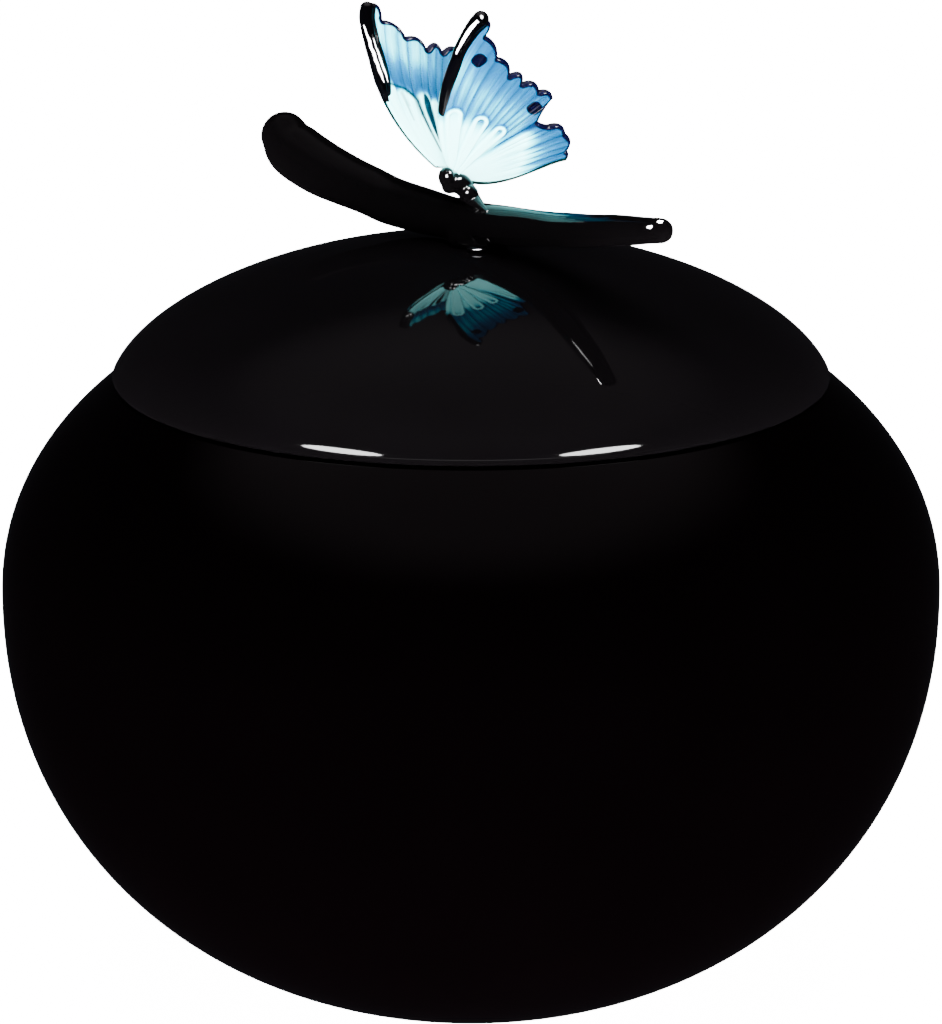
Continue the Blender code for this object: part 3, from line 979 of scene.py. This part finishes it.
LAMP_AIM = Vector((0, 0, 0.16))
LIGHT_DISTANCE = 1.6
GLINT_DISTANCE = 1.3
# The room that gloss mirrors: dark all round, with a dim ceiling that begins and is full at these heights
CEILING = (0.62, 0.93)
ROOM_GREY = (0.010, 0.010, 0.012, 1.0)
CEILING_GREY = (0.9, 0.8, 0.85, 1.0)
BACKDROP_WHITE = (20.0, 20.0, 20.0, 1.0)
FLOOR_RADIUS = 2.6


def oval_lamp(name, size, power):
    """An oval lamp that the camera doesn't see."""
    data = bpy.data.lights.new(name, "AREA")
    data.shape = "ELLIPSE"
    data.size, data.size_y = size
    data.energy = power
    lamp = bpy.data.objects.new(name, data)
    bpy.context.scene.collection.objects.link(lamp)
    lamp.visible_camera = False
    return lamp


def light_only(lamp, pieces):
    """Let a lamp light some pieces alone."""
    group = bpy.data.collections.new(lamp.name + "_lit")
    for piece in pieces:
        group.objects.link(piece)
    lamp.light_linking.receiver_collection = group


def add_light(name, azimuth, elevation, size, power, pieces=None, glint=False):
    """A lamp that faces the urn, its azimuth 0 at the camera, for soft light or else only for glints."""
    lamp = oval_lamp(name, size, power)
    turn, lift = math.radians(azimuth), math.radians(elevation)
    back = Vector((math.sin(turn) * math.cos(lift), -math.cos(turn) * math.cos(lift), math.sin(lift)))
    lamp.location = LAMP_AIM + back * (GLINT_DISTANCE if glint else LIGHT_DISTANCE)
    lamp.rotation_euler = back.to_track_quat("Z", "Y").to_euler()
    lamp.visible_glossy = glint
    lamp.visible_diffuse = not glint
    if pieces:
        light_only(lamp, pieces)


def add_card(name, piece, target, start, stop, width, power):
    """A small bright card close to one piece, seen only in its gloss, that faces the target."""
    start, stop = Vector(start), Vector(stop)
    middle = (start + stop) / 2
    along = (stop - start).normalized()
    back = middle - Vector(target)
    back = (back - along * back.dot(along)).normalized()
    card = oval_lamp(name, (width, (stop - start).length), power)
    card.matrix_world = Matrix((along.cross(back), along, back)).transposed().to_4x4()
    card.location = middle
    card.visible_diffuse = False
    light_only(card, [piece])


def make_world():
    """White behind the object, and round it a dark room under a dim grey ceiling."""
    world = bpy.data.worlds.new("studio")
    world.use_nodes = True
    tree = world.node_tree
    background = tree.nodes["Background"]
    towards = add_node(tree, "ShaderNodeTexCoord").outputs["Generated"]
    parts = add_node(tree, "ShaderNodeSeparateXYZ")
    tree.links.new(towards, parts.inputs[0])
    height = clipped(tree, parts.outputs["Z"], *CEILING)
    room = mix_colour(tree, height, ROOM_GREY, CEILING_GREY)
    path = add_node(tree, "ShaderNodeLightPath")
    colour = mix_colour(tree, path.outputs["Is Camera Ray"], room, BACKDROP_WHITE)
    tree.links.new(colour, background.inputs["Color"])
    bpy.context.scene.world = world


def make_floor():
    """A round floor, wide enough to fill the view."""
    work = bmesh.new()
    bmesh.ops.create_circle(work, segments=96, radius=FLOOR_RADIUS, cap_ends=True)
    mesh = bpy.data.meshes.new("floor")
    work.to_mesh(mesh)
    work.free()
    mesh.materials.append(pale_floor())
    floor = bpy.data.objects.new("floor", mesh)
    bpy.context.scene.collection.objects.link(floor)
    floor.visible_glossy = False


def make_camera():
    """The photograph's view, from in front and a little above."""
    data = bpy.data.cameras.new("camera")
    data.lens = CAMERA_LENS
    data.sensor_width = 36.0
    camera = bpy.data.objects.new("camera", data)
    bpy.context.scene.collection.objects.link(camera)
    back = Vector((0, -math.cos(CAMERA_ELEVATION), math.sin(CAMERA_ELEVATION)))
    camera.location = Vector((0, 0, CAMERA_AIM)) + back * CAMERA_DISTANCE
    camera.rotation_euler = back.to_track_quat("Z", "Y").to_euler()
    bpy.context.scene.camera = camera


# The glass and the pieces

vessel_black = black_glass(
    "vessel_black",
    tone=(0.0002, 0.00009, 0.00012),
    gloss=0.06,
    smooth=0.03,
    rough=0.07,
    ripple=0.0002,
    dust_grey=0.0006,
)
# The lid gets a lighter tone than the vessel: a painted sheen standing in for the soft grey that the lid
# reflects
lid_black = black_glass(
    "lid_black",
    tone=(0.0012, 0.0010, 0.0011),
    gloss=0.03,
    smooth=0.03,
    rough=0.06,
    ripple=0.00012,
    dust_grey=0.004,
)
# The twig also gets a lighter tone than the vessel: a painted sheen for the soft grey along its top
twig_black = black_glass(
    "twig_black",
    tone=(0.0009, 0.00075, 0.0008),
    gloss=0.03,
    smooth=0.02,
    rough=0.05,
    ripple=0.0002,
    dust_grey=0.001,
)
bead_black = black_glass(
    "bead_black",
    tone=(0.0003, 0.00026, 0.0004),
    gloss=0.5,
    smooth=0.015,
    rough=0.03,
    ripple=0.00005,
    dust_grey=0.001,
)
butterfly_black = black_glass(
    "butterfly_black",
    tone=(0.0014, 0.0012, 0.0013),
    gloss=0.05,
    smooth=0.04,
    rough=0.09,
    ripple=0.0003,
    dust_grey=0.004,
)
wing_blue = wing_glass("wing_blue")

vessel = turned("vessel", vessel_profile(), vessel_black, "urn_body")
lid = turned("domed_lid", lid_profile(), lid_black, "lid")
twig = make_twig(twig_black)
twig_end = cut_piece(twig, "twig_end", TWIG_END_CUT, TWIG_HEADING)
twig_tip = cut_piece(twig_end, "twig_tip", TWIG_END - TWIG_HEADING * TWIG_TIP_LENGTH, TWIG_HEADING)
drop = make_drop(lid_black)
butterfly = make_butterfly_body(butterfly_black)
near_glass = make_wing("near_wing", wing_blue, outer_face=-1)
far_glass = make_wing("far_wing", wing_blue, outer_face=1)
near_bead = make_bead("near_wing", bead_black)
far_bead = make_bead("far_wing", bead_black)
wings = [near_glass, far_glass]

# The floor, the room, the camera and the lamps

make_floor()
make_world()
make_camera()
add_light("overhead", 0, 80, size=(1.6, 1.6), power=70)
add_light("front_fill", -5, 18, size=(1.6, 1.2), power=290, pieces=wings)
for side in (-1, 1):
    add_light("rim_box", 44 * side, 33, size=(0.56, 0.18), power=190, pieces=[lid], glint=True)
    add_light("wing_box", 44 * side, 32, size=(0.5, 0.3), power=14, pieces=wings, glint=True)
add_light("rim_front", 0, 20, size=(2.4, 0.35), power=24, pieces=[lid], glint=True)
add_light("tip_box", 18, 42, size=(0.9, 1.2), power=700, pieces=[near_bead], glint=True)
add_light("drop_box", -5, 38, size=(1.2, 0.6), power=9000, pieces=[drop], glint=True)
add_light("twig_low", -52, 4, size=(0.4, 0.3), power=4500, pieces=[twig_end], glint=True)
add_card(
    "near_bead_card",
    near_bead,
    target=(-0.0005, -0.0158, 0.2310),
    start=(-0.0250, -0.0292, 0.2300),
    stop=(-0.0100, -0.0320, 0.2120),
    width=0.015,
    power=0.5,
)
add_card(
    "far_bead_card",
    far_bead,
    target=(-0.0223, 0.0, 0.2230),
    start=(-0.0385, -0.0094, 0.2290),
    stop=(-0.0085, -0.0139, 0.2191),
    width=0.006,
    power=0.2,
)
add_card(
    "far_bead_side_card",
    far_bead,
    target=(-0.0207, 0.0, 0.2210),
    start=(-0.0119, -0.0054, 0.2288),
    stop=(-0.0094, 0.0079, 0.2160),
    width=0.005,
    power=0.07,
)
add_card(
    "head_card",
    butterfly,
    target=HEAD_CENTRE,
    start=(-0.0047, -0.0149, 0.1952),
    stop=(-0.0047, -0.0131, 0.2010),
    width=0.0055,
    power=0.12,
)
add_card(
    "head_side_card",
    butterfly,
    target=HEAD_CENTRE,
    start=(-0.0004, -0.0070, 0.1996),
    stop=(-0.0004, -0.0033, 0.2003),
    width=0.0032,
    power=0.04,
)
add_card(
    "tip_side_card",
    twig_tip,
    target=(0.0401, -0.0528, 0.1938),
    start=(0.0341, -0.0515, 0.1944),
    stop=(0.0351, -0.0517, 0.1974),
    width=0.0026,
    power=0.08,
)
add_card(
    "tip_top_card",
    twig_tip,
    target=(0.0422, -0.0529, 0.1951),
    start=(0.0394, -0.0511, 0.2008),
    stop=(0.0440, -0.0511, 0.2006),
    width=0.0044,
    power=0.35,
)
